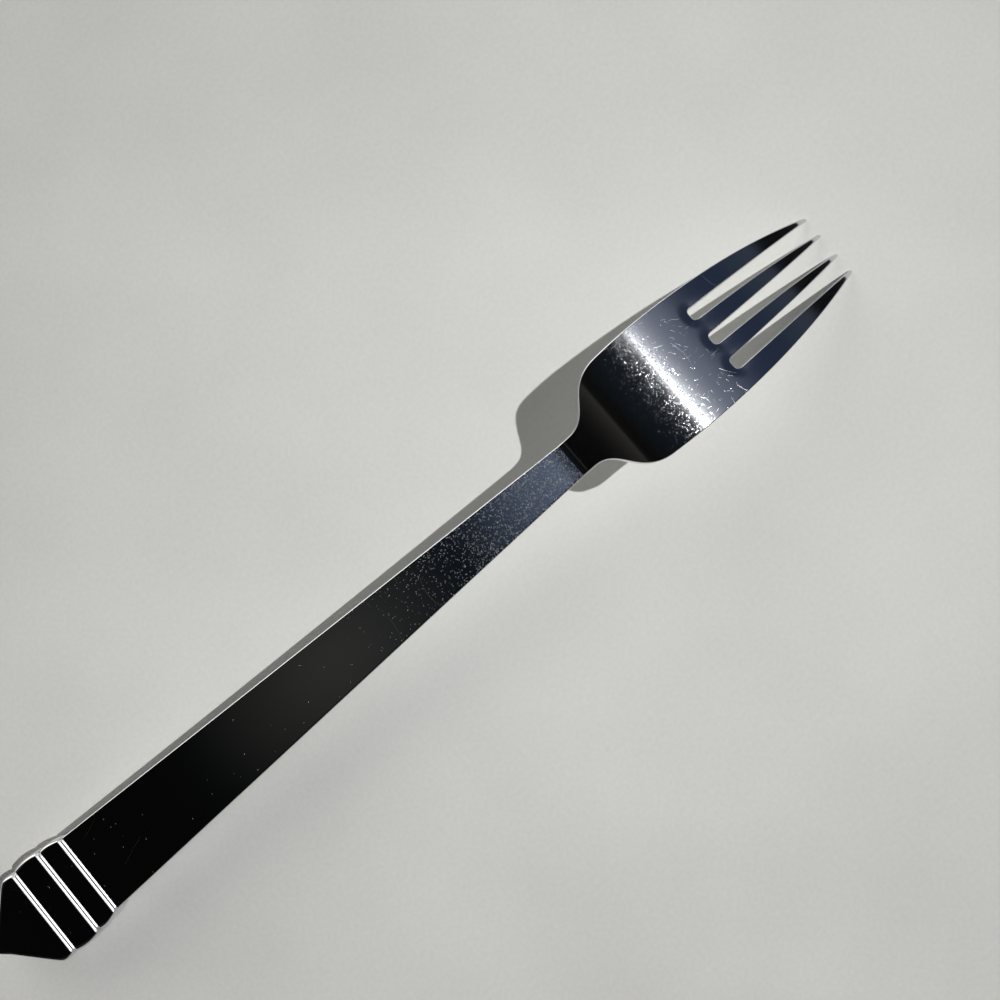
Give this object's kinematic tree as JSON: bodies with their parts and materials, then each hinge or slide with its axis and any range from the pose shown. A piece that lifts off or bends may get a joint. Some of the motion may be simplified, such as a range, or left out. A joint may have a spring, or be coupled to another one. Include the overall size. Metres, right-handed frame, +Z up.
{
  "type": "serving fork",
  "caption": "Polished steel serving fork lying face down: a curved head with slim pointed tines on a flat tapering hollow handle that ends in raised bands and a gabled end cap.",
  "frame": {"origin": "on the table surface, under the middle of the fork's length and width", "axes": "+X from the handle's end to the tips of the tines, +Z up, away from the table, with the back of the fork upwards"},
  "size_m": [0.2128, 0.0226, 0.0207],
  "materials": {
    "head_steel": "polished stainless steel with fine scratches from use, mostly along the fork",
    "handle_steel": "mirror polished stainless steel with light scratches and finger marks",
    "band_steel": "mirror polished stainless steel with bright grooves",
    "filling_resin": "dull cast resin, hidden inside the handle"
  },
  "bodies": {
    "root": {"fork_head": "head_steel", "handle_back_half": "handle_steel", "handle_front_half": "handle_steel", "handle_filling": "filling_resin", "flared_collar": "band_steel", "end_ring": "band_steel", "end_cap": "band_steel"}
  },
  "joints": []
}
